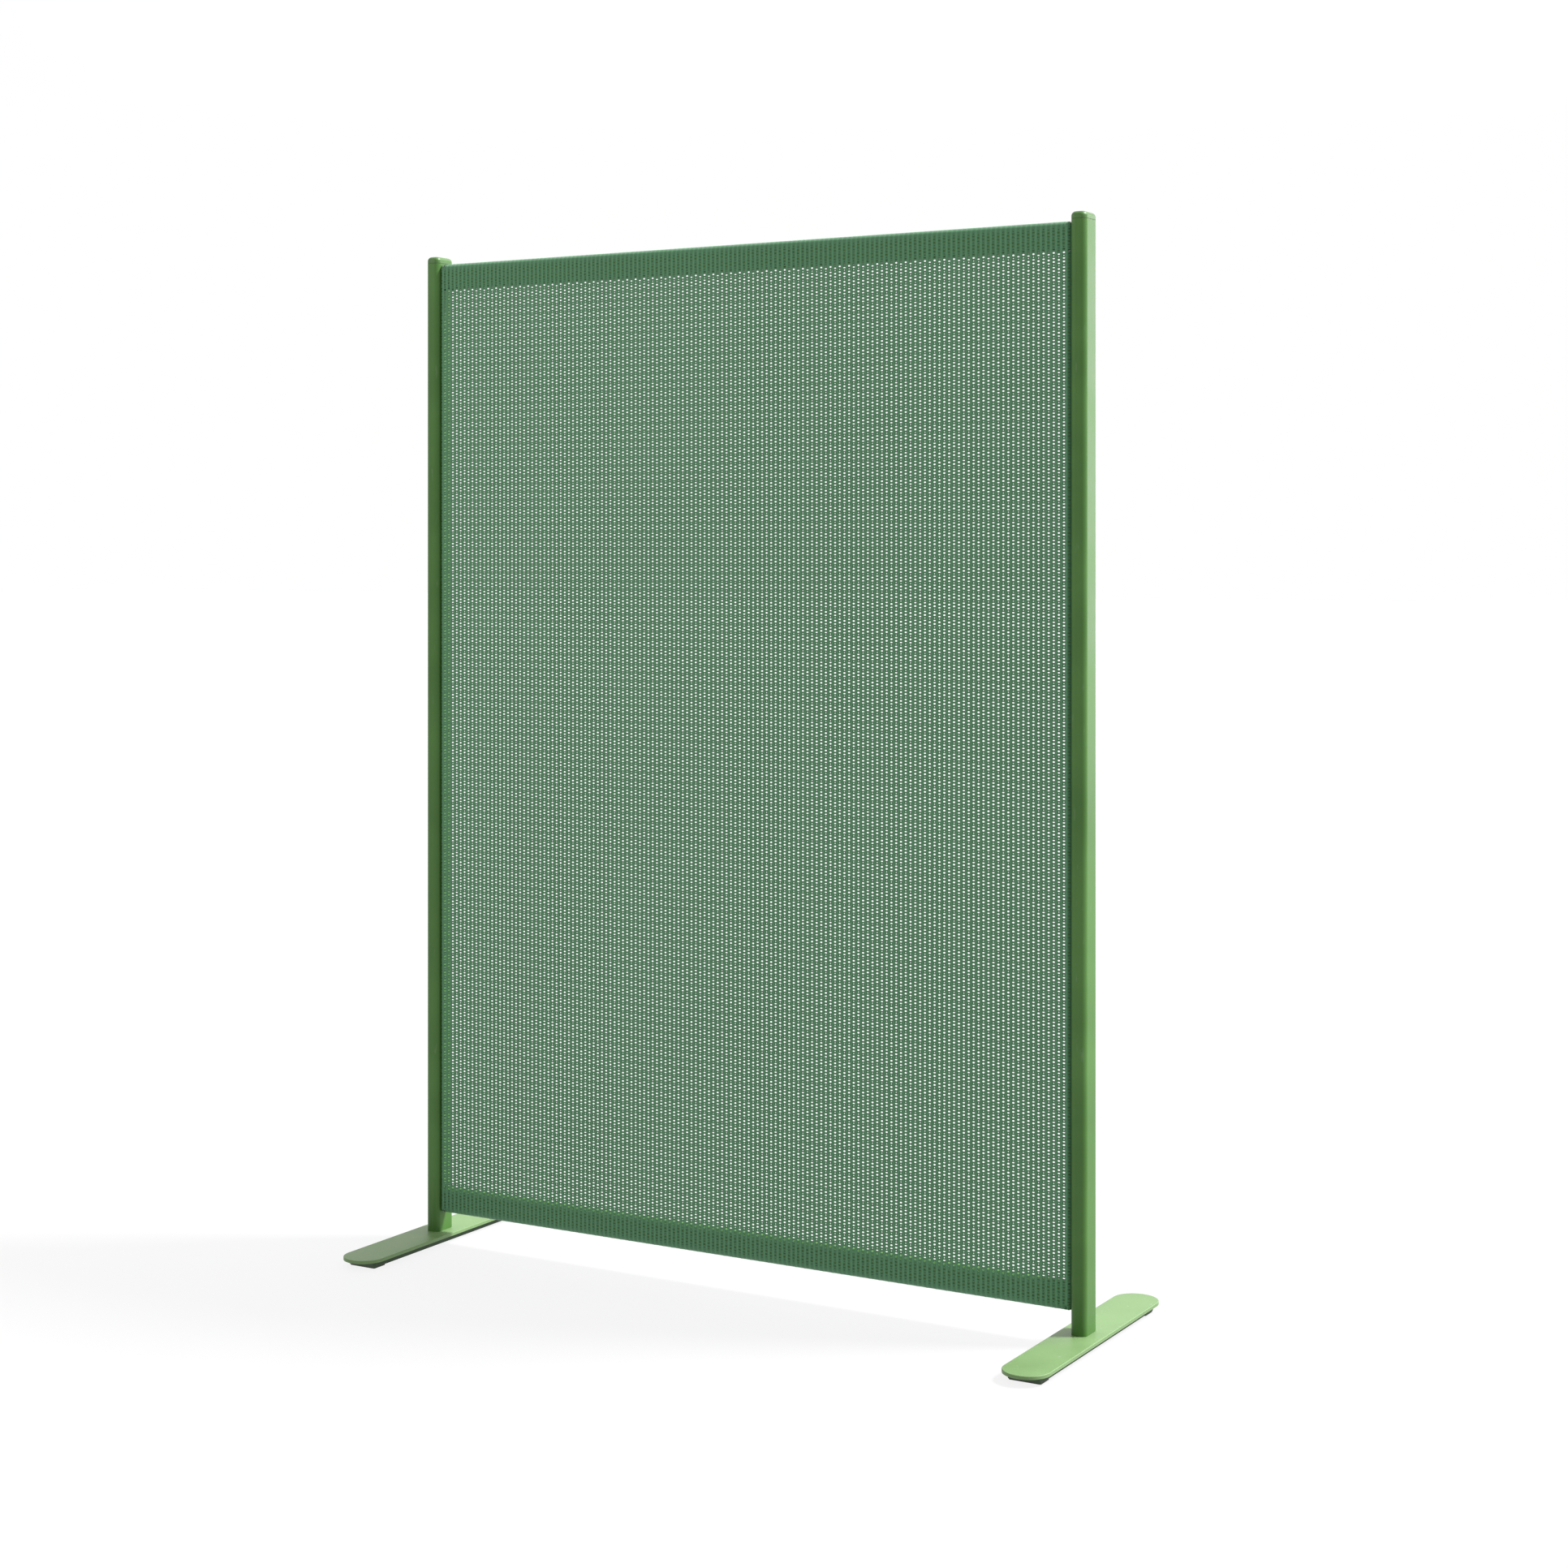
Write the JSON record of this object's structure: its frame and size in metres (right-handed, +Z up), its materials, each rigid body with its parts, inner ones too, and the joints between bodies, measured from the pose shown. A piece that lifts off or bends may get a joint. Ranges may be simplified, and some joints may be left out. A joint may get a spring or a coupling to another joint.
{
  "type": "freestanding mesh screen",
  "caption": "Tall free-standing room divider: a knitted mesh panel stretched between two rails and two posts, each post on a long flat foot.",
  "frame": {"origin": "on the floor, midway between the posts and midway along the feet", "axes": "+X runs along the panel from the left post to the right post, +Y points to the back (the mesh face lies towards -Y), +Z points up"},
  "size_m": [1.246, 0.461, 1.65],
  "materials": {
    "mesh_fabric": "knitted, matt",
    "post_paint": "satin",
    "cap_plastic": "satin",
    "foot_paint": "satin",
    "rail_paint": "satin",
    "glide_rubber": "matt",
    "bracket_plastic": "matt",
    "strip_plastic": "matt",
    "zinc_steel": "zinc plated"
  },
  "bodies": {
    "root": {"left_ballast_bar": "foot_paint", "left_ballast_screws": "zinc_steel", "left_base_plate": "foot_paint", "left_base_screws": "zinc_steel", "left_batten_screws": "zinc_steel", "left_bracket_screws": "zinc_steel", "left_edge_batten": "rail_paint", "left_foot_plug": "zinc_steel", "left_front_glide": "glide_rubber", "left_keder": "strip_plastic", "left_post": "post_paint", "left_post_cap": "cap_plastic", "left_rail_screws": "zinc_steel", "left_rear_glide": "glide_rubber", "lower_hem": "mesh_fabric", "lower_hem_strip": "strip_plastic", "lower_left_nut_plate": "zinc_steel", "lower_left_rail_bracket": "bracket_plastic", "lower_rail": "rail_paint", "lower_right_nut_plate": "zinc_steel", "lower_right_rail_bracket": "bracket_plastic", "mesh_panel": "mesh_fabric", "right_ballast_bar": "foot_paint", "right_ballast_screws": "zinc_steel", "right_base_plate": "foot_paint", "right_base_screws": "zinc_steel", "right_batten_screws": "zinc_steel", "right_bracket_screws": "zinc_steel", "right_edge_batten": "rail_paint", "right_foot_plug": "zinc_steel", "right_front_glide": "glide_rubber", "right_keder": "strip_plastic", "right_post": "post_paint", "right_post_cap": "cap_plastic", "right_rail_screws": "zinc_steel", "right_rear_glide": "glide_rubber", "upper_hem": "mesh_fabric", "upper_hem_strip": "strip_plastic", "upper_left_nut_plate": "zinc_steel", "upper_left_rail_bracket": "bracket_plastic", "upper_rail": "rail_paint", "upper_right_nut_plate": "zinc_steel", "upper_right_rail_bracket": "bracket_plastic"}
  },
  "joints": []
}
